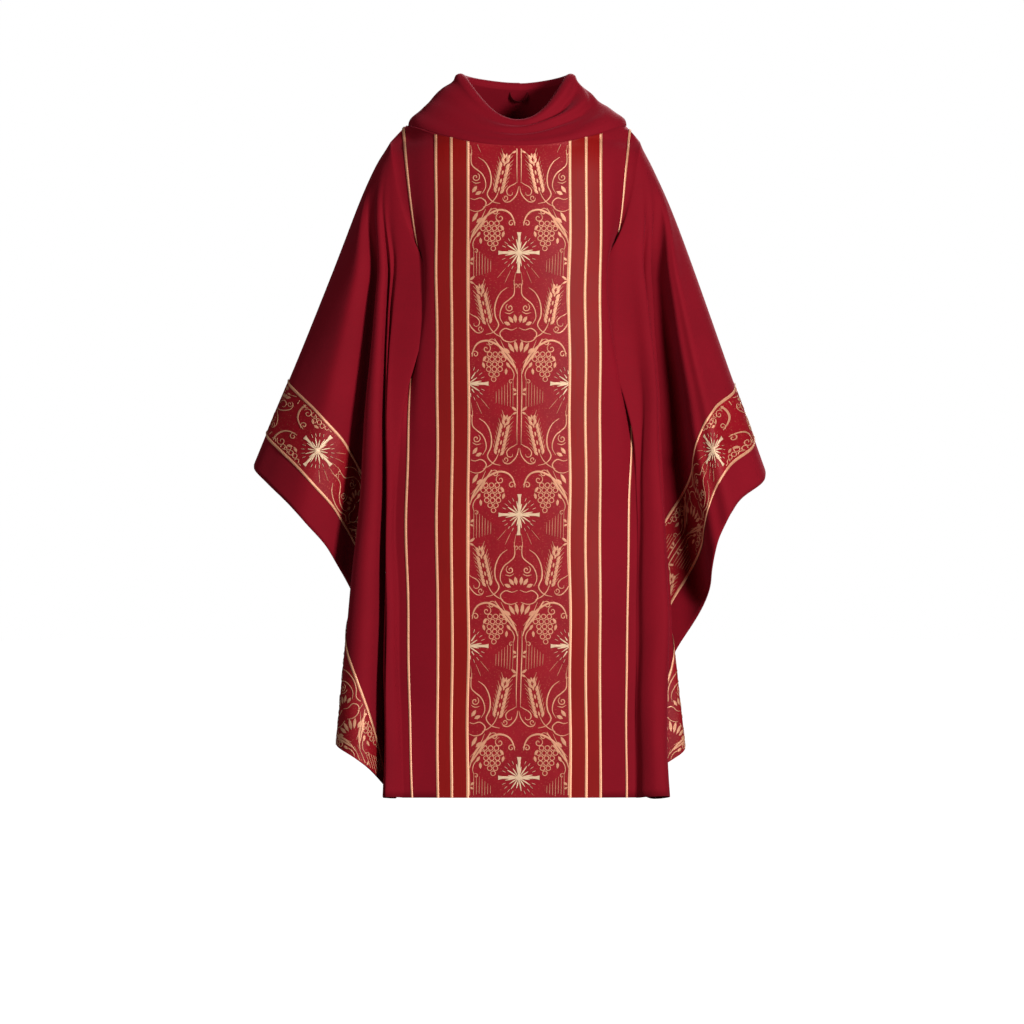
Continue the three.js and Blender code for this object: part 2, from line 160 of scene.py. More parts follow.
def hem_radius(angle):
    """The rounded hem, which rises from the straight part towards the sides."""
    return HEM_RADIUS - HEM_LIFT * (1 - smooth(angle, 58, 72))


def edge_radius(angle):
    """Length of the cloth along a fold line, from the shoulder point to the edge."""
    side = (WING_EDGE - BODY_HALF) / np.maximum(np.cos(np.radians(angle)), 1e-6)
    return np.minimum(side, hem_radius(angle))


def lean(angle, half):
    """How far a fold line leans outwards and forwards, for each metre of drop."""
    knots, out, forward = np.array(HANG[half]).T
    return spline(knots, out, angle), spline(knots, forward, angle)


def along(angle, distance, side, half, depth):
    """A point on a straight fold line."""
    out, forward = lean(angle, half)
    size = np.sqrt(out**2 + forward**2 + 1)
    x0, z0 = SHOULDER[half]
    return np.stack(
        [
            half * (x0 + out / size * distance),
            side * (forward / size * distance + depth),
            z0 - distance / size,
        ],
        -1,
    )


def wing(angle, distance, side, half):
    """The wing's cloth: round over the shoulder, then falling into folds."""
    angle, distance = np.broadcast_arrays(angle, distance)
    turn = (angle - FIRST) / (LAST - FIRST) * math.pi / 2
    round_in = np.sqrt(1 - (1 - np.minimum(distance / CAP, 1)) ** 2)
    first = along(np.full_like(angle, FIRST), distance, side, half, 0)
    last = along(np.full_like(angle, LAST), distance, side, half, SHOULDER_DEPTH * round_in)
    dome = last.copy()
    dome[..., 0] += (first[..., 0] - last[..., 0]) * np.cos(turn)
    dome[..., 2] += (first[..., 2] - last[..., 2]) * np.cos(turn)
    dome[..., 1] *= np.sin(turn)
    depth = SHOULDER_DEPTH * round_in * smooth(angle, 20, 33)
    fold = along(angle, distance, side, half, depth)
    share = smooth(distance, CAP * 0.6, CAP * 0.6 + FOLDS_DEEPEN)[..., None]
    place = dome + (fold - dome) * share
    amount, reach = SHOULDER_PUSH[half]
    push = amount * distance / reach * np.exp(1 - distance / reach) * np.cos(turn) ** 2
    flare = 0
    for out, middle, wide in FLARE[half]:
        flare = flare + out * np.exp(-(((angle - middle) / wide) ** 2))
    flare = flare * smooth(distance, 0.85, 1.15)
    place[..., 0] += half * (push + flare)
    return place


def top_point(across, side):
    """The upper end of a body line: the neck seam, then the shoulder line."""
    size = np.abs(across)
    half = np.where(across < 0, LEFT, RIGHT)
    depth, height = NECK[side]
    neck = np.where(across < 0, NECK_HALF[LEFT], NECK_HALF[RIGHT])
    shoulder = np.where(across < 0, SHOULDER[LEFT][0], SHOULDER[RIGHT][0])
    turn = np.sqrt(np.clip(1 - (size / neck) ** 2, 0, 1))
    beyond = np.clip((size - neck) / (BODY_HALF - neck), 0, 1)
    return np.stack(
        [
            half * (np.minimum(size, neck) + (shoulder - neck) * beyond),
            side * depth * turn,
            height * turn**2 + SHOULDER[LEFT][1] * beyond,
        ],
        -1,
    )


def body(across, share, side):
    """The cloth between the shoulder points, which hangs nearly straight."""
    across, share = np.broadcast_arrays(across, share)
    size = np.abs(across)
    top = top_point(across, side)
    z = top[..., 2] - share * (LENGTH + top[..., 2])
    chest, hem = CHEST[side]
    neck_depth = NECK[side][0]
    fall = np.clip(-0.03 - z, 0, None)

    def centre_depth(level):
        below = np.clip(NECK[side][1] - level, 0, None)
        full = chest + (hem - chest) * below / LENGTH
        return full - (chest - neck_depth) * np.exp(-below / 0.07)

    out = np.zeros(across.shape)
    side_depth = np.zeros(across.shape)
    for half in (LEFT, RIGHT):
        edge = wing(np.full(across.shape, LAST), fall, side, half)
        here = (across < 0) == (half == LEFT)
        out = np.where(here, np.abs(edge[..., 0]), out)
        side_depth = np.where(here, np.abs(edge[..., 1]), side_depth)
    place = size / BODY_HALF
    middle = np.cos(place * math.pi / 2)
    depth = side_depth + (centre_depth(z) - side_depth) * middle
    at_top = centre_depth(top[..., 2]) * middle
    depth = depth + (np.abs(top[..., 1]) - at_top) * np.exp(-(top[..., 2] - z) / 0.055)
    x = np.sign(across) * (size - (BODY_HALF - out) * place**4)
    return np.stack([x, side * depth, z], -1)


WING_LINES = 130
BODY_LINES = 94
ROWS = 112
wing_angles = np.linspace(FIRST, LAST, WING_LINES + 1)
body_places = np.linspace(-BODY_HALF, BODY_HALF, BODY_LINES + 1)
ROW_SPREAD = 1.35  # above 1, the rows lie closer together at the top
row_shares = (np.arange(ROWS + 1) / ROWS) ** ROW_SPREAD
COLUMNS = 2 * WING_LINES + BODY_LINES


# The flap over each crease: how far from the line it starts, how wide and high it is, and
# how far it is folded back over the line.
FLAP_FROM_LINE = 0.032
FLAP_WIDTH = 0.020
FLAP_HEIGHT = 0.014
FLAP_OVERLAP = 0.050

# Beside the outer lines: depth below the shoulder, how far the cloth is drawn outwards
# (or inwards, below 0), and how deep the crease is, from 0 to 1.
DRAWN_LEFT = (
    (0.00, 0.08, 0.19, 0.27, 0.35, 0.42, 0.50, 0.60, 0.90, 1.30),
    (0.000, -0.006, -0.015, -0.026, -0.020, -0.008, -0.004, 0.000, 0.004, 0.000),
    (0.0, 0.1, 0.42, 0.82, 0.92, 0.80, 0.42, 0.12, 0.0, 0.0),
)
DRAWN_RIGHT = (
    (0.00, 0.08, 0.19, 0.27, 0.35, 0.44, 0.51, 0.58, 0.70, 0.90, 1.30),
    (0.002, -0.006, -0.016, -0.033, -0.028, -0.008, 0.006, 0.009, 0.004, 0.002, 0.000),
    (0.0, 0.1, 0.42, 0.82, 0.95, 0.92, 0.66, 0.34, 0.10, 0.0, 0.0),
)


def pull(cut, place, side):
    """Draws the cloth beside each outer braid line into a crease, under a soft flap that
    comes over it from the wing."""
    across = cut[..., 0]
    z = place[..., 2]
    for half, drawn, deep, crease in (
        (LEFT, DRAWN_LEFT, 0.028, 0.013),
        (RIGHT, DRAWN_RIGHT, 0.046, 0.015),
    ):  # deep is the crease's depth and crease its half width
        amount = spline(drawn[0], drawn[1], np.clip(-z, drawn[0][0], drawn[0][-1]))
        groove = spline(drawn[0], drawn[2], np.clip(-z, drawn[0][0], drawn[0][-1]))
        from_line = half * across - LINES[2]
        width = np.where(from_line < 0, 0.030, 0.085)
        near = np.exp(-((from_line / width) ** 2))
        near = near * smooth(half * across, 0.150, 0.175)
        place[..., 0] += half * amount * near
        valley = np.exp(-(((from_line - 0.002) / crease) ** 2))
        flap = np.exp(-(((from_line - FLAP_FROM_LINE) / FLAP_WIDTH) ** 2))
        place[..., 1] -= side * groove * (deep * valley - FLAP_HEIGHT * flap)
        place[..., 0] -= half * FLAP_OVERLAP * groove * flap
    return place


def hanging_grid(side):
    """Places of the cloth's threads: (columns, rows, 3), and where each is in the cut."""
    share = row_shares[None, :]
    parts, cuts = [], []
    for half in (LEFT, RIGHT):
        angle = wing_angles[:, None]
        distance = share * edge_radius(angle)
        parts.append(wing(angle, distance, side, half))
        flat = np.radians(angle)
        cuts.append(
            np.stack(
                [
                    half * (BODY_HALF + distance * np.cos(flat)),
                    FAN_TOP + distance * np.sin(flat),
                ],
                -1,
            )
        )
    across = body_places[:, None]
    middle = body(across, share, side)
    middle_cut = np.stack([np.broadcast_to(across, middle.shape[:2]), -middle[..., 2]], -1)
    grid = np.concatenate([parts[0][:-1], middle, parts[1][::-1][1:]])
    cut = np.concatenate([cuts[0][:-1], middle_cut, cuts[1][::-1][1:]])
    grid = pull(cut, grid, side)
    # soften the meeting of body and wings near the top, where the shoulder is round
    ends = grid[[0, -1]].copy()
    top = grid[:, 0].copy()
    for _ in range(14):
        blend = np.zeros_like(grid)
        blend[1:-1] = (grid[:-2] + grid[2:]) / 2 - grid[1:-1]
        weight = 0.5 * (1 - smooth(cut[..., 1], 0.08, 0.30))[..., None]
        grid = grid + blend * weight
        grid[[0, -1]] = ends
        grid[:, 0] = top
    # slight unevenness of soft cloth
    level = smooth(cut[..., 1], 0.05, 0.35)
    fade = np.minimum(1, np.abs(np.abs(cut[..., 0]) - WING_EDGE) / 0.1)
    seed = 3 if side == FRONT else 11
    grid[..., 1] += 0.0022 * level * fade * waves(cut[..., 0], cut[..., 1] * 0.35, seed, 7, 0.07, 0.22)
    grid[..., 0] += 0.0034 * level * fade * waves(cut[..., 0] * 0.5, cut[..., 1], seed + 1, 6, 0.12, 0.4)
    if side == BACK:  # the back hangs a little nearer to the body
        grid[..., 1] *= 1 - 0.035 * smooth(cut[..., 1], 0.3, 0.9)
    grid[0, :, 1] = 0
    grid[-1, :, 1] = 0
    return grid, cut


def outward(grid, side):
    """The direction that faces away from the wearer, at every place of a grid."""
    across = np.gradient(grid, axis=0)
    down = np.gradient(grid, axis=1)
    normal = np.cross(across, down) * side
    size = np.linalg.norm(normal, axis=-1, keepdims=True)
    return normal / np.maximum(size, 1e-12)


class Hang:
    """One hanging sheet. Any place on the cut can be read from it, at any height above it."""

    def __init__(self, side):
        self.side = side
        self.grid, self.cut = hanging_grid(side)
        self.normal = outward(self.grid, side)

    def columns_rows(self, across, down):
        """Where on the grid a place of the cut is."""
        across, down = np.broadcast_arrays(np.asarray(across, float), np.asarray(down, float))
        size = np.abs(across)
        half = np.where(across < 0, LEFT, RIGHT)
        top = top_point(across, self.side)[..., 2]
        body_share = np.clip((-down - top) / (-LENGTH - top), 0, 1)
        body_column = WING_LINES + (across + BODY_HALF) / (2 * BODY_HALF) * BODY_LINES
        angle = np.degrees(np.arctan2(down - FAN_TOP, np.maximum(size - BODY_HALF, 1e-9)))
        angle = np.clip(angle, FIRST, LAST)
        radius = np.hypot(size - BODY_HALF, down - FAN_TOP)
        wing_share = np.clip(radius / edge_radius(angle), 0, 1)
        wing_column = (angle - FIRST) / (LAST - FIRST) * WING_LINES
        wing_column = np.where(half == LEFT, wing_column, COLUMNS - wing_column)
        in_body = size <= BODY_HALF
        column = np.where(in_body, body_column, wing_column)
        share = np.where(in_body, body_share, wing_share)
        return column, share ** (1 / ROW_SPREAD) * ROWS

    def at(self, column, row, lift=0.0):
        column = np.clip(column, 0, COLUMNS - 1e-6)
        row = np.clip(row, 0, ROWS - 1e-6)
        i, j = column.astype(int), row.astype(int)
        a, b = (column - i)[..., None], (row - j)[..., None]
        result = 0
        for di, wa in ((0, 1 - a), (1, a)):
            for dj, wb in ((0, 1 - b), (1, b)):
                normal = self.normal[i + di, j + dj]
                corner = self.grid[i + di, j + dj] + normal * np.asarray(lift)[..., None]
                result = result + corner * wa * wb
        return result

    def place(self, across, down, lift=0.0):
        column, row = self.columns_rows(across, down)
        return self.at(column, row, lift)

    def normal_at(self, across, down):
        column, row = self.columns_rows(across, down)
        column = np.clip(np.round(column).astype(int), 0, COLUMNS)
        row = np.clip(np.round(row).astype(int), 0, ROWS)
        return self.normal[column, row]


def hem_down(across):
    """How far down the hem is at a place across the wing."""
    angles = np.linspace(56.9, LAST, 400)
    radius = edge_radius(angles)
    u = BODY_HALF + radius * np.cos(np.radians(angles))
    v = FAN_TOP + radius * np.sin(np.radians(angles))
    return np.interp(across, u[::-1], v[::-1])


# ------------------------------------------------------------------------ mesh making


def mesh_object(name, points, faces, cut=None):
    """A smooth sheet, with its place in the cut kept as a UV map in metres."""
    mesh = bpy.data.meshes.new(name)
    corners = [list(map(int, face)) for face in faces]
    mesh.from_pydata(np.asarray(points, float).reshape(-1, 3).tolist(), [], corners)
    mesh.update()
    if cut is not None:
        flat = np.asarray(cut, float).reshape(-1, 2)
        layer = mesh.uv_layers.new(name="cut")
        index = np.zeros(len(mesh.loops), int)
        mesh.loops.foreach_get("vertex_index", index)
        layer.data.foreach_set("uv", flat[index].astype(np.float32).ravel())
    mesh.polygons.foreach_set("use_smooth", np.ones(len(mesh.polygons), bool))
    piece = bpy.data.objects.new(name, mesh)
    bpy.context.scene.collection.objects.link(piece)
    return piece


def grid_faces(columns, rows, flip=False, closed=False):
    """Four-sided faces between neighbouring columns and rows."""
    faces = []
    for i in range(columns if closed else columns - 1):
        for j in range(rows - 1):
            a, b = i * rows + j, ((i + 1) % columns) * rows + j
            quad = (a, a + 1, b + 1, b)
            faces.append(quad[::-1] if flip else quad)
    return faces


def finish_piece(piece, material, nodes=()):
    """Gives a piece its material and its body, and hides the CAD nodes that it stands for."""
    piece.data.materials.clear()
    piece.data.materials.append(material)
    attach(piece, "root")
    if nodes:
        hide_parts(*nodes)
    return piece


def sheet(piece, held, rests_on, with_pieces=()):
    """Reads where the corners of a sheet lie in the cut, from its UV map, and does nothing more with them.
    The collar, the neck tape and the hem tapes have no place in that cut: theirs is the length they were
    made with."""
    mesh = piece.data
    flat = np.zeros(len(mesh.loops) * 2)
    mesh.uv_layers["cut"].data.foreach_get("uv", flat)
    flat = flat.reshape(-1, 4, 2)


def solidify(piece, thickness, offset=-1.0):
    """Gives a sheet its thickness, inwards from the outer face unless offset is 0."""
    modifier = piece.modifiers.new("thickness", "SOLIDIFY")
    modifier.thickness = thickness
    modifier.offset = offset
    modifier.use_even_offset = False
    return piece


# ---------------------------------------------------------------------- shader nodes


class Value:
    """A number, colour or shader on its way through a material."""

    def __init__(self, nodes, socket):
        self.nodes = nodes
        self.socket = socket

    def maths(self, operation, *inputs):
        return self.nodes.node("Math", {"operation": operation}, inputs)

    def __add__(self, other):
        return self.maths("ADD", self, other)

    def __mul__(self, other):
        return self.maths("MULTIPLY", self, other)

    def __sub__(self, other):
        return self.maths("SUBTRACT", self, other)

    def __rsub__(self, other):
        return self.maths("SUBTRACT", other, self)

    __radd__ = __add__
    __rmul__ = __mul__

    def sine(self):
        return self.maths("SINE", self)

    def clamp(self):
        return self.nodes.node("Clamp", inputs=[self])


class Finish:
    """The nodes of one material, or of the world."""

    def __init__(self, owner):
        owner.use_nodes = True
        self.owner = owner
        self.tree = owner.node_tree
        self.tree.nodes.clear()

    def put(self, socket, value):
        if isinstance(value, Value):
            self.tree.links.new(value.socket, socket)
        else:
            socket.default_value = value

    def node(self, kind, settings=None, inputs=(), output=0, **named):
        """Makes any node: its settings first, then what goes into its sockets, by place or
        by name. A place is a number counted from 0."""
        made = self.tree.nodes.new("ShaderNode" + kind)
        for key, value in (settings or {}).items():
            setattr(made, key, value)
        places = inputs if isinstance(inputs, dict) else dict(enumerate(inputs))
        for place, value in places.items():
            self.put(made.inputs[place], value)
        for key, value in named.items():
            self.put(made.inputs[key.replace("_", " ")], value)
        return Value(self, made.outputs[output]) if made.outputs else None

    def cut_place(self):
        return self.node("UVMap", {"uv_map": "cut"})

    def across_down(self, place):
        """The two parts of a place on the cut."""
        return [self.node("SeparateXYZ", inputs=[place], output=k) for k in (0, 1)]

    def noise(self, place, scale, detail=2.0):
        return self.node("TexNoise", Vector=place, Scale=scale, Detail=detail)

    def streaks(self, place, across, down, detail=2.0):
        """Noise that is stretched: the larger number is the finer direction."""
        stretched = self.node("Mapping", Vector=place, Scale=(across, down, 1.0))
        return self.noise(stretched, 1.0, detail)

    def mix(self, share, one, two):
        return self.node("Mix", {"data_type": "RGBA"}, {0: share, 6: one, 7: two}, output=2)

    def bump(self, height, strength, distance):
        return self.node("Bump", Height=height, Strength=strength, Distance=distance)

    def done(self, **inputs):
        surface = self.node("BsdfPrincipled", **inputs)
        self.node("OutputMaterial", inputs=[surface])
        return self.owner


def shade(red, green, blue):
    """A colour given from 0 to 255, as the shader wants it."""
    parts = [part / 255 for part in (red, green, blue)]
    dark = 0.0404
    linear = [c / 12.92 if c < dark else ((c + 0.055) / 1.055) ** 2.4 for c in parts]
    return (*linear, 1.0)


def weave(finish, place, pitch):
    """Height of a plain weave, 1 where the threads rise and 0 where they dip."""
    across, down = finish.across_down(place)
    warp = (across * (math.tau / pitch)).sine()
    weft = (down * (math.tau / pitch)).sine()
    return warp * weft * 0.5 + 0.5


def cloth_finish(name, deep, full, pitch=0.0011, rough=0.78, sheen=0.25):
    """Dyed cloth with a weave, uneven threads, slightly uneven dye, and painted shade where the woven
    threads dip.
    """
    f = Finish(bpy.data.materials.new(name))
    place = f.cut_place()
    threads = weave(f, place, pitch)
    warp = f.streaks(place, 900.0, 60.0)
    weft = f.streaks(place, 60.0, 900.0)
    cloud = f.noise(place, 7.0, 3.0)
    # the colour mix: uneven threads and dye, plus painted shade darkening the dips of the weave
    uneven_and_dip_shade = (warp + weft) * 0.275 + cloud * 0.45 + threads * 0.12 - 0.02
    colour = f.mix(uneven_and_dip_shade.clamp(), deep, full)
    height = threads * 0.6 + (warp + weft) * 0.5
    return f.done(
        Base_Color=colour,
        Roughness=(0.15 * warp + (rough - 0.07)).clamp(),
        Normal=f.bump(height, 0.28, 0.0004),
        Sheen_Weight=sheen,
        Sheen_Roughness=0.5,
        Sheen_Tint=(0.85, 0.12, 0.18, 1.0),
        Specular_IOR_Level=0.08,
    )


def satin_finish(name, deep, full):
    """Smooth cloth woven with long floats: streaks of sheen along its length."""
    f = Finish(bpy.data.materials.new(name))
    place = f.cut_place()
    streak = f.streaks(place, 1400.0, 25.0)
    cloud = f.noise(place, 9.0)
    return f.done(
        Base_Color=f.mix((streak * 0.6 + cloud * 0.4).clamp(), deep, full),
        Roughness=(0.40 + 0.22 * streak).clamp(),
        Normal=f.bump(streak, 0.25, 0.0003),
        Specular_IOR_Level=0.08,
        Sheen_Weight=0.05,
        Sheen_Roughness=0.4,
    )


def brocade_finish(name, deep, full, glint):
    """Brocade ground: a diagonal rib with scattered metal threads, and painted shade in the dips of the
    rib.
    """
    f = Finish(bpy.data.materials.new(name))
    place = f.cut_place()
    across, down = f.across_down(place)
    rib = ((across + down) * (math.tau / 0.0016)).sine() * 0.5 + 0.5
    threads = weave(f, place, 0.0012)
    cloud = f.noise(place, 14.0, 3.0)
    figure = f.noise(place, 70.0)
    # the colour: uneven dye and the woven figure, plus painted shade darkening the dips of the rib
    colour = f.mix((cloud * 0.6 + rib * 0.25 + figure * 0.25).clamp(), deep, full)
    speck = f.streaks(place, 260.0, 520.0, 1.0)
    metal = ((speck - 0.62) * 9.0).clamp() * 0.4
    return f.done(
        Base_Color=f.mix(metal, colour, glint),
        Roughness=(0.5 - 0.12 * metal).clamp(),
        Metallic=metal * 0.6,
        Normal=f.bump(rib * 0.5 + threads * 0.5, 0.3, 0.0004),
        Specular_IOR_Level=0.12,
    )


def gold_finish(name, deep, full, pitch, metal, rough=0.38):
    """Metal thread laid close together, seen as fine ribs, with a painted highlight on each rib and painted
    shade between them.
    """
    f = Finish(bpy.data.materials.new(name))
    place = f.cut_place()
    across, down = f.across_down(place)
    rib = ((down + across * 0.6) * (math.tau / pitch)).sine() * 0.5 + 0.5
    worn = f.noise(place, 160.0, 3.0)
    return f.done(
        # lighter on each rib's crest and darker between: painted highlight and shade; the worn patches are
        # at random
        Base_Color=f.mix((rib * 0.45 + worn * 0.6).clamp(), deep, full),
        Roughness=(rough - 0.1 + 0.25 * worn).clamp(),
        Metallic=metal,
        Normal=f.bump(rib, 0.5, 0.0005),
    )


crimson = cloth_finish("crimson_cloth", shade(98, 6, 19), shade(140, 13, 31))
satin = satin_finish("red_satin", shade(106, 8, 8), shade(150, 20, 18))
brocade = brocade_finish(
    "brocade_ground", shade(106, 6, 16), shade(160, 19, 34), shade(196, 106, 80)
)
gold_thread = gold_finish("gold_thread", shade(192, 118, 90), shade(238, 178, 138), 0.0018, 0.3)
pale_gold = gold_finish(
    "pale_gold_thread", shade(206, 160, 128), shade(246, 216, 178), 0.0018, 0.25
)
gold_braid = gold_finish("gold_braid", shade(206, 124, 96), shade(248, 188, 144), 0.0032, 0.3)
tape = cloth_finish("lining_tape", shade(70, 12, 18), shade(104, 20, 28), 0.0016, 0.85, 0.1)

# ----------------------------------------------------------------------- the sheets

hangs = {FRONT: Hang(FRONT), BACK: Hang(BACK)}
side_names = {FRONT: "front", BACK: "back"}
half_names = {LEFT: "left", RIGHT: "right"}

for name, side in (("front", FRONT), ("back", BACK)):
    hang = hangs[side]
    columns, rows = hang.grid.shape[:2]
    panel = mesh_object(
        name + "_cloth", hang.grid, grid_faces(columns, rows, flip=side == BACK), hang.cut
    )
    solidify(panel, CLOTH)
    finish_piece(panel, crimson, [name + "_panel"])


def strip(name, hang, low, high, columns, lift, crown=0.0):
    """A straight strip of trim down the body, from the neck seam to the hem."""
    rows = np.linspace(0, ROWS, 2 * ROWS + 1)
    across = np.linspace(low, high, columns)[:, None]
    column = WING_LINES + (across + BODY_HALF) / (2 * BODY_HALF) * BODY_LINES
    column = np.broadcast_to(column, (columns, len(rows)))
    row = np.broadcast_to(rows[None, :], column.shape)
    rise = lift + crown * (1 - np.linspace(-1, 1, columns)[:, None] ** 2)
    points = hang.at(column, row, np.broadcast_to(rise, column.shape))
    top = top_point(across, hang.side)[..., 2]
    share = (row / ROWS) ** ROW_SPREAD
    down = -(top - share * (LENGTH + top))
    cut = np.stack([np.broadcast_to(across, column.shape), down], -1)
    return mesh_object(name, points, grid_faces(columns, len(rows), flip=hang.side == BACK), cut)


def band(name, hang, half, low, high, columns, lift, crown=0.0, count=150):
    """A straight strip across the wing's cut, from the shoulder line to the rounded hem."""
    across = np.linspace(low, high, columns)
    if half == LEFT:
        across = across[::-1]
    start = FAN_TOP + (across - BODY_HALF) * math.tan(math.radians(FIRST))
    stop = hem_down(across)
    share = np.linspace(0, 1, count + 1)[None, :]
    down = start[:, None] + (stop - start)[:, None] * share
    u = np.broadcast_to(half * across[:, None], down.shape)
    rise = lift + crown * (1 - np.linspace(-1, 1, columns)[:, None] ** 2)
    points = hang.place(u, down, np.broadcast_to(rise, down.shape))
    cut = np.stack([u, down], -1)
    return mesh_object(name, points, grid_faces(columns, count + 1, flip=hang.side == BACK), cut)


for name, side in (("front", FRONT), ("back", BACK)):
    hang = hangs[side]
    orphrey = strip(name + "_orphrey_brocade", hang, -ORPHREY_HALF, ORPHREY_HALF, 33, 0.0010)
    finish_piece(orphrey, brocade, [name + "_orphrey"])
    for half in (LEFT, RIGHT):
        word = f"{name}_{half_names[half]}"
        low, high = sorted((half * ORPHREY_HALF, half * (LINES[1] + BRAID / 2)))
        piece = strip(word + "_satin", hang, low, high, 11, 0.0007)
        finish_piece(piece, satin, [word + "_side_strip"])
        for node, middle in (
            ("orphrey_braid", ORPHREY_HALF - BRAID / 2),
            ("strip_middle_braid", LINES[0]),
            ("strip_edge_braid", LINES[1]),
            ("outer_line_braid", LINES[2]),
        ):
            low, high = sorted((half * (middle - BRAID / 2), half * (middle + BRAID / 2)))
            piece = strip(f"{word}_{node}_gold", hang, low, high, 5, 0.0013, 0.0008)
            finish_piece(piece, gold_braid, [f"{word}_{node}"])
        piece = band(word + "_sleeve_brocade", hang, half, BAND_IN, BAND_OUT, 21, 0.0010)
        finish_piece(piece, brocade, [word + "_sleeve_band"])
        for node, place in (("inner", BAND_IN), ("outer", BAND_OUT)):
            low, high = place - BRAID / 2, place + BRAID / 2
            piece = band(f"{word}_sleeve_{node}_gold", hang, half, low, high, 5, 0.0014, 0.0008)
            finish_piece(piece, gold_braid, [f"{word}_sleeve_{node}_braid"])


# ------------------------------------------------------------------ the woven pattern
#
# Sizes here are in millimetres from the middle of a cross, down the cloth. What is drawn
# on one side is drawn again on the other. Crosses repeat down the middle, and again half
# a repeat lower along both edges.

REPEAT = 0.4805
FIRST_CROSS = 0.2425
HALF_DROP = 0.0945
SLEEVE_CROSS = 0.345
CLEAR_EDGE = 0.0045  # left bare beside each braid
THREAD_CROWN = 0.0006


def curve(points, step=4.0):
    """A smooth line through a few points."""
    p = np.array(points, float)
    gaps = np.linalg.norm(np.diff(p, axis=0), axis=1)
    places = np.concatenate([[0], np.cumsum(gaps)])
    count = max(3, int(places[-1] / step) + 1)
    at = np.linspace(0, places[-1], count)
    if len(p) < 3:
        return p[0] + (p[1] - p[0]) * (at / places[-1])[:, None]
    return np.stack([spline(places, p[:, 0], at), spline(places, p[:, 1], at)], -1)


def scroll(centre, start, turns, radius, tip=0.8, count=20):
    """A spiral that winds into a small eye."""
    t = np.linspace(0, 1, count)
    angle = math.radians(start) + t * math.tau * turns
    r = radius + (tip - radius) * t
    return np.stack([centre[0] + r * np.cos(angle), centre[1] + r * np.sin(angle)], -1)


def ring(centre, radius, count=10):
    angle = np.linspace(0, math.tau, count + 1)
    return np.stack([centre[0] + radius * np.cos(angle), centre[1] + radius * np.sin(angle)], -1)


def leaf(centre, length, width, lean_by):
    """A pointed leaf or grain, six-sided."""
    cosine, sine = math.cos(math.radians(lean_by)), math.sin(math.radians(lean_by))
    shape = [(-0.5, 0), (-0.15, 0.46), (0.2, 0.4), (0.5, 0), (0.2, -0.4), (-0.15, -0.46)]
    return [
        (
            centre[0] + a * length * cosine - b * width * sine,
            centre[1] + a * length * sine + b * width * cosine,
        )
        for a, b in shape
    ]


def cross_motif():
    """The cross with its burst of short rays: strokes as (line, width, ends), and solids."""
    strokes, solids = [], []
    for turn in range(16):
        angle = math.radians(turn * 22.5 + 11.25)
        long = 25 if turn % 2 else 20
        a = np.array([math.cos(angle), math.sin(angle)])
        strokes.append((np.array([a * 4, a * long]), 2.4, 0.25))
    for turn in range(24):
        angle = math.radians(turn * 15 + 7.5)
        a = np.array([math.cos(angle), math.sin(angle)])
        if abs(a[0]) > 0.2 and abs(a[1]) > 0.2:
            strokes.append((np.array([a * 26, a * 33]), 1.0, 0.3))
    arm = [(-2.2, -4), (-2.3, -30), (-3.9, -37.5), (3.9, -37.5), (2.3, -30), (2.2, -4)]
    for x, y in ((1, 0), (0, 1), (-1, 0), (0, -1)):
        solids.append([(-a * y - b * x, a * x - b * y) for a, b in arm])
    near, far = 2.3, 4.2
    solids.append(
        [
            (-near, -far), (near, -far), (far, -near), (far, near),
            (near, far), (-near, far), (-far, near), (-far, -near),
        ]
    )
    return strokes, solids


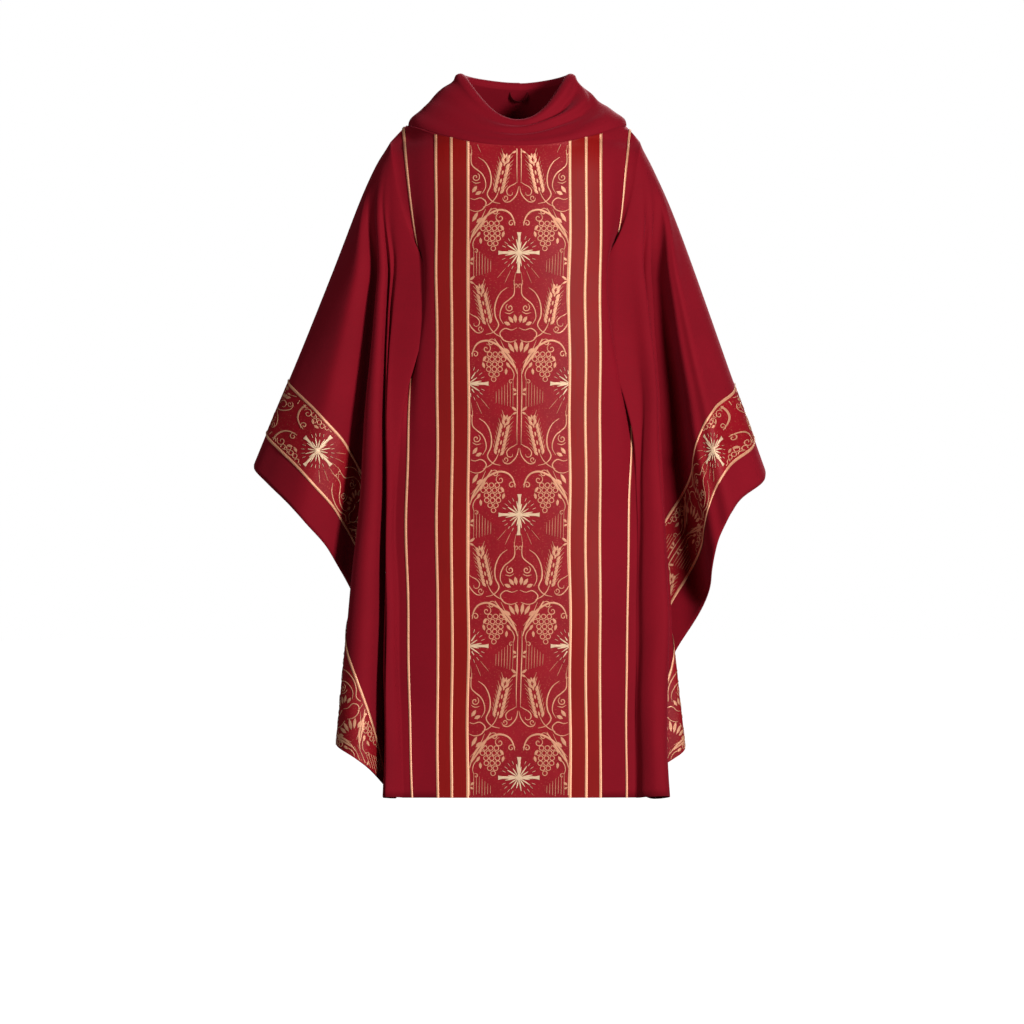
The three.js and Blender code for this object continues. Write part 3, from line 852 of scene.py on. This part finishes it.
def vine_motif():
    """One side of everything round the cross."""
    strokes, solids = [], []

    def line(points, width, ends=0.2):
        strokes.append((curve(points), width, ends))

    # the arch over the grapes, and its curled inner end
    line([(90, -18), (84, -36), (70, -58), (52, -73), (34, -79), (19, -74), (11, -63), (8, -50)], 3.6, 0.25)
    line([(88, -30), (78, -50), (62, -66), (46, -75)], 1.6)
    strokes.append((scroll((14, -54), 180, 1.2, 7), 1.8, 0.3))
    strokes.append((scroll((35, -64), -90, 1.3, 9), 1.7, 0.3))
    # the bunch of grapes
    for row, count in enumerate((3, 4, 3, 3, 2, 1)):
        for k in range(count):
            x = 51 + (k - (count - 1) / 2) * 10.4 - row * 0.8
            strokes.append((ring((x, -54 + row * 9.2), 4.3), 1.5, 1.0))
    line([(72, -44), (67, -52), (58, -60)], 1.6)
    for x, y, a in ((74, -34, 60), (70, -22, 95), (31, -46, 120), (29, -34, 75)):
        solids.append(leaf((x, y), 12, 5.5, a))
    # the stem and its two scrolls
    line([(3.6, -268), (4.2, -235), (4.0, -195), (4.0, -150), (3.6, -128)], 2.0, 0.05)
    line([(3.6, -130), (9, -126), (17, -122), (23, -114), (20, -106), (13, -106), (12, -111)], 1.8)
    line([(1, -122), (4, -109), (11, -99), (20, -93), (28, -95), (30, -101)], 2.0)
    strokes.append((scroll((25, -101), 40, 1.1, 6), 1.5, 0.3))
    for y, size in ((-191, 13), (-226, 9)):
        solids.append(leaf((9.5, y - 3), size, 5, -38))
        solids.append(leaf((8.5, y + 5), size * 0.8, 4, 28))
    # the ear of wheat
    top, foot = np.array([23.0, -180.0]), np.array([38.0, -112.0])
    down = (foot - top) / np.linalg.norm(foot - top)
    across = np.array([-down[1], down[0]])
    tilt = math.degrees(math.atan2(-down[1], -down[0]))
    for k in range(9):
        middle = top + down * (3 + k * 8.0)
        wide = 6.6 if k > 1 else 4.2
        for side in (-1, 1):
            solids.append(leaf(middle + across * side * wide, 12.5, 5.8, tilt - side * 26))
        if k % 2 == 0:
            solids.append(leaf(middle - down * 2, 9.5, 3.6, tilt))
        for side in (-1, 1):
            tip = middle + across * side * (wide + 7.5) - down * 13
            strokes.append((np.array([middle + across * side * wide, tip]), 1.0, 0.3))
    line([tuple(foot), (44, -100), (54, -90), (66, -84)], 1.8)
    # fine rays each side of the stem
    for k in range(7):
        x = 12 + k * 5.2
        strokes.append((np.array([[x, -250 + k * 4.0], [x, -196 - k * 1.5]]), 0.9, 0.4))
    for k in range(6):
        angle = math.radians(50 + k * 16)
        a = np.array([math.cos(angle), math.sin(angle)])
        strokes.append((np.array([a * 36, a * (54 + 6 * (k % 2))]), 0.9, 0.4))
    # the lyre below the cross
    line([(8, 50), (6.5, 64), (8, 78), (16, 86), (25, 93), (32, 106), (33, 120), (27, 131)], 2.1)
    line([(20, 64), (31, 72), (39, 85), (43, 100), (42, 117), (36, 133), (46, 146), (60, 150)], 2.4)
    strokes.append((scroll((15, 101), -60, 1.35, 8), 1.9, 0.3))
    strokes.append((scroll((4.5, 60), 90, 0.9, 4.5), 1.3, 0.3))
    line([(8, 108), (15, 112), (24, 110)], 1.7)
    # the flower and the vase it stands in
    for x, y, size, a in ((5, 121, 16, -82), (13, 123, 15, -55), (20, 130, 13, -25)):
        solids.append(leaf((x, y), size, 7, a))
    line([(2, 138), (12, 142), (24, 139), (34, 148), (28, 160), (14, 164), (3, 160)], 2.0)
    for x, y, size, a in ((5, 172, 22, -80), (14, 174, 21, -60), (22, 180, 15, -40)):
        solids.append(leaf((x, y), size, 7, a))
    line([(44, 158), (38, 168), (28, 184), (16, 201), (7, 214)], 3.4, 0.2)
    line([(33, 160), (27, 174), (17, 190), (6, 203)], 1.4)
    line([(24, 204), (15, 212), (10, 224), (12, 234)], 1.7)
    strokes.append((scroll((50, 165), 200, 1.2, 7.5), 1.8, 0.3))
    strokes.append((scroll((16, 237), -150, 1.0, 5), 1.3, 0.3))
    return strokes, solids


class Pattern:
    """Raised thread laid on a hanging sheet, within two straight edges of the cut."""

    def __init__(self, hang, low, high, top, foot):
        self.hang = hang
        self.low, self.high, self.top, self.foot = low, high, top, foot
        self.points, self.lifts, self.faces = [], [], []

    def inside(self, p):
        return (
            (p[:, 0] > self.low) & (p[:, 0] < self.high)
            & (p[:, 1] > self.top(p[:, 0])) & (p[:, 1] < self.foot(p[:, 0]))
        )

    def stroke(self, line, width, ends):
        if len(line) < 3:
            line = curve(line * 1000, 6.0) / 1000
        keep = self.inside(line)
        direction = np.gradient(line, axis=0)
        direction /= np.maximum(np.linalg.norm(direction, axis=1, keepdims=True), 1e-9)
        aside = np.stack([-direction[:, 1], direction[:, 0]], -1)
        t = np.linspace(0, 1, len(line))
        swell = ends + (1 - ends) * np.sqrt(np.sin(math.pi * np.clip(t, 0.02, 0.98)))
        half = (width / 2 * swell)[:, None]
        first = len(self.points)
        for p, a, h in zip(line, aside, half):
            self.points += [p - a * h, p, p + a * h]
            self.lifts += [0.0, 1.0, 0.0]
        for k in range(len(line) - 1):
            if keep[k] and keep[k + 1]:
                a, b = first + 3 * k, first + 3 * (k + 1)
                self.faces += [(a, a + 1, b + 1, b), (a + 1, a + 2, b + 2, b + 1)]

    def solid(self, outline):
        outline = np.array(outline, float)
        if not self.inside(outline).all():
            return
        first = len(self.points)
        self.points += list(outline) + [outline.mean(0)]
        self.lifts += [0.0] * len(outline) + [1.0]
        for k in range(len(outline)):
            self.faces.append((first + k, first + (k + 1) % len(outline), first + len(outline)))

    def lay(self, motif, across, down, both=True):
        """Lays a motif with its middle at a place on the cut, and its mirror image too."""
        strokes, solids = motif
        for mirror in (1, -1) if both else (1,):
            scale = np.array([mirror, 1]) / 1000
            middle = np.array([across, down])
            for line, width, ends in strokes:
                self.stroke(middle + np.asarray(line) * scale, width / 1000, ends)
            for outline in solids:
                self.solid(middle + np.asarray(outline) * scale)

    def made(self, name, lift, crown):
        cut = np.array(self.points)
        lifts = lift + crown * np.array(self.lifts)
        points = self.hang.place(cut[:, 0], cut[:, 1], lifts)
        used = sorted({v for f in self.faces for v in f})
        index = {v: k for k, v in enumerate(used)}
        points, cut = points[used], cut[used]
        outward_way = self.hang.normal_at(cut[:, 0], cut[:, 1])
        faces = []
        for f in self.faces:
            g = [index[v] for v in f]
            normal = np.cross(points[g[1]] - points[g[0]], points[g[2]] - points[g[0]])
            faces.append(g if normal @ outward_way[g[0]] > 0 else g[::-1])
        return mesh_object(name, points, faces, cut)


crosses, vines = cross_motif(), vine_motif()


def lay_repeats(pattern, motif, across, start, stop, first, both=True):
    """Repeats a motif down the cloth, through the place where its first cross is."""
    down = first
    while down - 0.27 > start:
        down -= REPEAT
    while down - 0.27 < stop:
        pattern.lay(motif, across, down, both)
        down += REPEAT


def lay_orphrey(name, hang, word, motif, finish, lift, both):
    """The pattern of one orphrey, from the neck seam to the hem."""
    edge = ORPHREY_HALF - CLEAR_EDGE

    def neck(across):
        return -top_point(across, hang.side)[..., 2] + 0.004

    def hem(across):
        return np.full_like(across, LENGTH - 0.002)

    pattern = Pattern(hang, -edge, edge, neck, hem)
    lay_repeats(pattern, motif, 0.0, 0.0, LENGTH, FIRST_CROSS, both)
    for across in (-HALF_DROP, HALF_DROP):
        lay_repeats(pattern, motif, across, 0.0, LENGTH, FIRST_CROSS + REPEAT / 2, both)
    piece = pattern.made(f"{name}_orphrey_{word}", lift, THREAD_CROWN)
    finish_piece(piece, finish)


def lay_sleeve(name, hang, half, word, motif, finish, lift, both):
    """The pattern of one sleeve band, from the shoulder line to the rounded hem."""
    low, high = sorted((half * (BAND_IN + CLEAR_EDGE), half * (BAND_OUT - CLEAR_EDGE)))

    def shoulder(across):
        slope = math.tan(math.radians(FIRST))
        return FAN_TOP + (np.abs(across) - BODY_HALF) * slope + 0.003

    def hem(across):
        return hem_down(np.abs(across)) - 0.003

    pattern = Pattern(hang, low, high, shoulder, hem)
    middle = (low + high) / 2
    lay_repeats(pattern, motif, middle, 0.15, 1.2, SLEEVE_CROSS, both)
    for across in (-HALF_DROP, HALF_DROP):
        lay_repeats(pattern, motif, middle + across, 0.15, 1.2, SLEEVE_CROSS + REPEAT / 2, both)
    piece = pattern.made(f"{name}_{half_names[half]}_sleeve_{word}", lift, THREAD_CROWN)
    finish_piece(piece, finish)


for name, side in (("front", FRONT), ("back", BACK)):
    for word, motif, finish, lift, both in (
        ("vines", vines, gold_thread, 0.0014, True),
        ("crosses", crosses, pale_gold, 0.0019, False),
    ):
        lay_orphrey(name, hangs[side], word, motif, finish, lift, both)
        for half in (LEFT, RIGHT):
            lay_sleeve(name, hangs[side], half, word, motif, finish, lift, both)

# ------------------------------------------------------------------------- the collar

COLLAR_HALF = {LEFT: 0.121, RIGHT: 0.108}
COLLAR_TOP = {FRONT: (0.085, -0.005), BACK: (0.078, 0.072)}
COLLAR_SIDE = 0.085
ROLL = 0.012
COLLAR_SPACE = 0.012
TURNS = 240


def collar_lines():
    """Outer and inner faces of the collar, as (turns, points, 3), from the neck seam up."""
    around = np.linspace(-math.pi, math.pi, TURNS, endpoint=False)
    sine, cosine = np.sin(around), np.cos(around)
    turn = np.abs(cosine)
    front = cosine >= 0
    side = np.where(front, FRONT, BACK)
    seam_depth = np.where(front, NECK[FRONT][0], NECK[BACK][0])
    seam_height = np.where(front, NECK[FRONT][1], NECK[BACK][1])
    neck = np.where(sine < 0, NECK_HALF[LEFT], NECK_HALF[RIGHT])
    base = np.stack([neck * sine, side * seam_depth * turn, seam_height * turn**2], -1)
    depth = np.where(front, COLLAR_TOP[FRONT][0], COLLAR_TOP[BACK][0])
    low = np.where(front, COLLAR_TOP[FRONT][1], COLLAR_TOP[BACK][1])
    height = COLLAR_SIDE + (low - COLLAR_SIDE) * turn**2
    tip = np.where(sine < 0, COLLAR_HALF[LEFT], COLLAR_HALF[RIGHT])
    top = np.stack([tip * sine, side * depth * turn, height], -1)
    slack = (1 - 1.5 * smooth(sine, 0.4, 0.95))[:, None]
    out = top * np.array([1, 1, 0])
    out /= np.linalg.norm(out, axis=1, keepdims=True)
    up = np.array([0, 0, 1.0])
    middle = top - out * ROLL
    rise = top - base
    size = np.linalg.norm(rise, axis=1, keepdims=True)
    outer = [base, base + rise * (0.010 / size) + out * 0.006]
    for share, bulge in ((0.35, 0.0065), (0.6, 0.009), (0.82, 0.006)):
        outer.append(base + rise * share + out * bulge * slack)
    for angle in (0, 45, 90, 135, 180):
        a = math.radians(angle)
        outer.append(middle + out * ROLL * math.cos(a) + up * ROLL * math.sin(a))
    inward = base * np.array([1, 1, 0])
    inward /= -np.linalg.norm(inward, axis=1, keepdims=True)
    foot = base + inward * COLLAR_SPACE + up * 0.002
    rim = outer[-1]
    inner = [rim, rim + (foot - rim) * 0.35 + out * 0.003, rim + (foot - rim) * 0.7 + out * 0.004, foot]
    return around, np.stack(outer, 1), np.stack(inner, 1)


def resample(lines, count):
    """Smooth, evenly spaced points along each line."""
    result = np.zeros((len(lines), count, 3))
    for k, line in enumerate(lines):
        places = np.concatenate([[0], np.cumsum(np.linalg.norm(np.diff(line, axis=0), axis=1))])
        at = np.linspace(0, places[-1], count)
        for axis in range(3):
            result[k, :, axis] = spline(places, line[:, axis], at)
    return result


def ring_normals(grid):
    """The direction that faces away from the neck, at every place of a closed ring."""
    around = np.roll(grid, -1, 0) - np.roll(grid, 1, 0)
    down = np.gradient(grid, axis=1)
    normal = np.cross(around, down)
    return normal / np.maximum(np.linalg.norm(normal, axis=-1, keepdims=True), 1e-12)


def ring_object(name, grid, flip=False):
    """A closed ring of cloth. Its flat length is its mean length round as it was made."""
    turns, rows = grid.shape[:2]
    faces = grid_faces(turns, rows, flip=flip, closed=True)
    piece = mesh_object(name, grid, faces)
    width = np.linalg.norm(np.roll(grid, -1, 0) - grid, axis=-1).sum(0).mean()
    step = np.linalg.norm(np.diff(grid, axis=1), axis=-1).mean(0)
    down = np.concatenate([[0], np.cumsum(step)])
    layer = piece.data.uv_layers.new(name="cut")
    flat = []
    for i in range(turns):
        for j in range(rows - 1):
            corners = [(i, j), (i, j + 1), (i + 1, j + 1), (i + 1, j)]
            flat += [(a / turns * width, down[b]) for a, b in (corners[::-1] if flip else corners)]
    layer.data.foreach_set("uv", np.array(flat, np.float32).ravel())
    return piece


around, outer_lines, inner_lines = collar_lines()
outer_grid = resample(outer_lines, 46)
inner_grid = resample(inner_lines, 16)


def fold_collar(grid, around):
    """The soft rolls that sweep from the right shoulder down across the front."""
    share = np.linspace(0, 1, grid.shape[1])[None, :]
    turn = np.degrees(around)[:, None]
    normal = ring_normals(grid)
    rise = np.zeros(grid.shape[:2])
    for knots, heights, widths, amounts in COLLAR_FOLDS:
        line = spline(knots, heights, np.clip(turn, knots[0], knots[-1]))
        wide = spline(knots, widths, np.clip(turn, knots[0], knots[-1]))
        amount = spline(knots, amounts, np.clip(turn, knots[0], knots[-1]))
        rise += amount * np.exp(-(((share - line) / wide) ** 2))
    rise += 0.0012 * waves(turn / 57.3, share * 0.6, 21, 6, 0.5, 1.6)
    rise *= smooth(share, 0.0, 0.08) * (1 - smooth(share, 0.80, 1.0))
    return grid + normal * rise[..., None]


# Each fold: where it is round the neck, in degrees from the front, how far up the
# collar, how wide, and how far it stands out (or sinks in, below 0).
COLLAR_FOLDS = (
    (
        (-45, -15, 0, 15, 30, 50, 70, 95),
        (0.3, 0.33, 0.36, 0.38, 0.4, 0.42, 0.48, 0.7),
        (0.05, 0.06, 0.06, 0.06, 0.06, 0.06, 0.06, 0.06),
        (0.0, -0.002, -0.005, -0.007, -0.008, -0.008, -0.007, 0.0),
    ),
    (
        (-60, -20, 0, 20, 40, 60, 80, 110),
        (0.5, 0.5, 0.49, 0.48, 0.48, 0.5, 0.54, 0.62),
        (0.1, 0.1, 0.1, 0.09, 0.09, 0.09, 0.09, 0.09),
        (0.0, 0.002, 0.004, 0.006, 0.007, 0.007, 0.004, 0.0),
    ),
    (
        (5, 25, 42, 60, 80),
        (0.58, 0.61, 0.64, 0.68, 0.74),
        (0.06, 0.06, 0.06, 0.06, 0.06),
        (0.0, -0.006, -0.01, -0.009, 0.0),
    ),
    (
        (-110, -80, -60, -35, -10),
        (0.3, 0.42, 0.5, 0.52, 0.5),
        (0.1, 0.1, 0.1, 0.1, 0.1),
        (0.0, -0.003, -0.003, -0.002, 0.0),
    ),
    (
        (30, 50, 70, 90, 120),
        (0.18, 0.2, 0.24, 0.3, 0.3),
        (0.1, 0.1, 0.1, 0.1, 0.1),
        (0.0, 0.005, 0.006, 0.004, 0.0),
    ),
)
outer_grid = fold_collar(outer_grid, around)
rim_shift = outer_grid[:, -1] - inner_grid[:, 0]
inner_grid = inner_grid + rim_shift[:, None] * np.linspace(1, 0, inner_grid.shape[1])[None, :, None]

collar = ring_object("collar_outer_cloth", outer_grid, flip=True)
solidify(collar, CLOTH)
finish_piece(collar, crimson, ["collar_outer"])
collar_lining = ring_object("collar_inner_cloth", inner_grid, flip=True)
solidify(collar_lining, CLOTH)
finish_piece(collar_lining, crimson, ["collar_inner"])

# ------------------------------------------------------------------- tapes and facings

neck_tape_grid = outer_grid[:, 1:10] - ring_normals(outer_grid)[:, 1:10] * 0.0024
neck_tape = ring_object("neck_tape", neck_tape_grid, flip=True)
finish_piece(neck_tape, tape, ["neck_seam_tape"])

for name, side in (("front", FRONT), ("back", BACK)):
    hang = hangs[side]
    angles = np.concatenate([wing_angles, np.full(BODY_LINES - 1, LAST), wing_angles[::-1]])
    length = edge_radius(angles)
    middle = slice(WING_LINES, WING_LINES + BODY_LINES + 1)
    length[middle] = LENGTH + top_point(body_places, side)[:, 2]
    share = 1 - np.linspace(0.036, 0.0015, 5)[None, :] / length[:, None]
    row = share ** (1 / ROW_SPREAD) * ROWS
    column = np.broadcast_to(np.arange(COLUMNS + 1)[:, None].astype(float), row.shape)
    points = hang.at(column, row, np.full(row.shape, -CLOTH - 0.0006))
    steps = np.linalg.norm(np.diff(points[:, 2], axis=0), axis=1)
    along_hem = np.concatenate([[0], np.cumsum(steps)])[:, None]
    cut = np.stack(np.broadcast_arrays(along_hem, np.linspace(0, 0.0345, 5)[None, :]), -1)
    piece = mesh_object(name + "_hem_tape", points, grid_faces(*row.shape, flip=side == BACK), cut)
    finish_piece(piece, tape, [name + "_hem_facing"])

for half in (LEFT, RIGHT):
    distance = np.linspace(0.05, 0.575, 60)
    sections = []
    for side, aside in ((FRONT, 0.012), (FRONT, 0.006), (FRONT, 0.0), (BACK, 0.006), (BACK, 0.012)):
        angle = FIRST + np.degrees(aside / distance)
        column = (angle - FIRST) / (LAST - FIRST) * WING_LINES
        if half == RIGHT:
            column = COLUMNS - column
        row = (distance / edge_radius(angle)) ** (1 / ROW_SPREAD) * ROWS
        sections.append(hangs[side].at(column, row, np.full(row.shape, -CLOTH - 0.001)))
    grid = np.stack(sections)
    cut = np.stack(np.broadcast_arrays(np.linspace(-0.012, 0.012, 5)[:, None], distance[None, :]), -1)
    piece = mesh_object(half_names[half] + "_shoulder_tape_cloth", grid, grid_faces(5, 60), cut)
    finish_piece(piece, tape, [half_names[half] + "_shoulder_tape"])

low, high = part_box("hanging_loop")
bend = np.linspace(0, math.pi, 25)
centre = (low + high) / 2
arc = np.stack(
    [
        centre.x + (high.x - low.x) / 2 * 0.9 * np.cos(bend),
        np.full(25, centre.y),
        high.z - (high.z - low.z) * 0.85 * np.sin(bend),
    ],
    -1,
)
loop_rows = np.stack([arc + [0, k * (high.y - low.y) * 0.4, 0] for k in (-1, 0, 1)])
loop_cut = np.stack(
    np.broadcast_arrays(np.linspace(0, 0.008, 3)[:, None], (bend * 0.018)[None, :]), -1
)
loop = mesh_object("hanging_loop_tape", loop_rows, grid_faces(3, 25), loop_cut)
solidify(loop, 0.0008, 0.0)
finish_piece(loop, tape, ["hanging_loop"])

# --------------------------------------------------------------- each sheet's place in the cut is read


def named(*names):
    return [bpy.data.objects[name] for name in names]


for name, other in (("front", "back"), ("back", "front")):
    cloth = name + "_cloth"
    lines = [f"{name}_{half}_outer_line_braid_gold" for half in ("left", "right")]
    sheet(*named(cloth), "hung", [other + "_cloth"], named(*lines))
    woven = [f"{name}_orphrey_{word}" for word in ("vines", "crosses")]
    woven += [f"{name}_{half}_orphrey_braid_gold" for half in ("left", "right")]
    sheet(*named(name + "_orphrey_brocade"), "hung", [cloth], named(*woven))
    for half in ("left", "right"):
        word = f"{name}_{half}"
        braids = [f"{word}_strip_{place}_braid_gold" for place in ("middle", "edge")]
        sheet(*named(word + "_satin"), "hung", [cloth], named(*braids))
        woven = [f"{word}_sleeve_{kind}" for kind in ("vines", "crosses", "inner_gold", "outer_gold")]
        sheet(*named(word + "_sleeve_brocade"), "draped", [cloth], named(*woven))
    sheet(*named(name + "_hem_tape"), "hung", [cloth])
for half in ("left", "right"):
    sheet(*named(half + "_shoulder_tape_cloth"), "draped", ["front_cloth", "back_cloth"])
sheet(*named("collar_outer_cloth"), "folded", ["front_cloth", "back_cloth"])
sheet(*named("collar_inner_cloth"), "draped", ["collar_outer_cloth"], named("hanging_loop_tape"))
sheet(*named("neck_tape"), "draped", ["collar_outer_cloth"])

# ------------------------------------------------------------------------ the scene

floor_z = cad_box[0].z - 0.31
bpy.ops.object.select_all(action="DESELECT")
bpy.ops.mesh.primitive_circle_add(vertices=96, radius=30.0, fill_type="NGON", location=(0, 0, 0))
floor = bpy.context.object
floor.name = "floor"
for vertex in floor.data.vertices:
    vertex.co.z = floor_z
floor.location = (0, 0, 0)
pale = Finish(bpy.data.materials.new("pale_floor")).done(
    Base_Color=(0.86, 0.86, 0.86, 1.0),
    Roughness=0.9,
    Emission_Color=(1, 1, 1, 1),
    Emission_Strength=1.0,
)
floor.data.materials.append(pale)
floor.visible_diffuse = False
floor.visible_glossy = False


def soft_light(name, place, aim, size, power):
    data = bpy.data.lights.new(name, "AREA")
    data.shape = "RECTANGLE"
    data.size, data.size_y = size
    data.energy = power
    light = bpy.data.objects.new(name, data)
    bpy.context.scene.collection.objects.link(light)
    light.location = place
    direction = Vector(aim) - Vector(place)
    light.rotation_euler = direction.to_track_quat("-Z", "Y").to_euler()


soft_light("key", (2.7, -3.9, 0.5), (0, 0, -0.6), (0.8, 1.0), 262)
soft_light("fill", (-2.3, -4.0, 0.4), (0, 0, -0.6), (1.6, 2.0), 50)
soft_light("back", (0.8, 3.6, 1.6), (0, 0, -0.5), (2.0, 2.0), 170)

world = bpy.data.worlds.new("studio")
bpy.context.scene.world = world
studio = Finish(world)
glow = studio.node("Background", Color=(1, 1, 1, 1), Strength=0.06)
seen = studio.node("Background", Color=(1, 1, 1, 1), Strength=1.0)
seen_directly = studio.node("LightPath")
studio.node("OutputWorld", inputs=[studio.node("MixShader", inputs=[seen_directly, glow, seen])])

bpy.context.scene.view_settings.view_transform = "Standard"

camera_data = bpy.data.cameras.new("camera")
camera_data.sensor_width = 36
camera_data.clip_end = 200
camera_data.lens = 228.9
camera = bpy.data.objects.new("camera", camera_data)
bpy.context.scene.collection.objects.link(camera)
camera.location = (-0.013, -12.1, -0.718)
camera.rotation_euler = (math.pi / 2, 0, 0)
bpy.context.scene.camera = camera
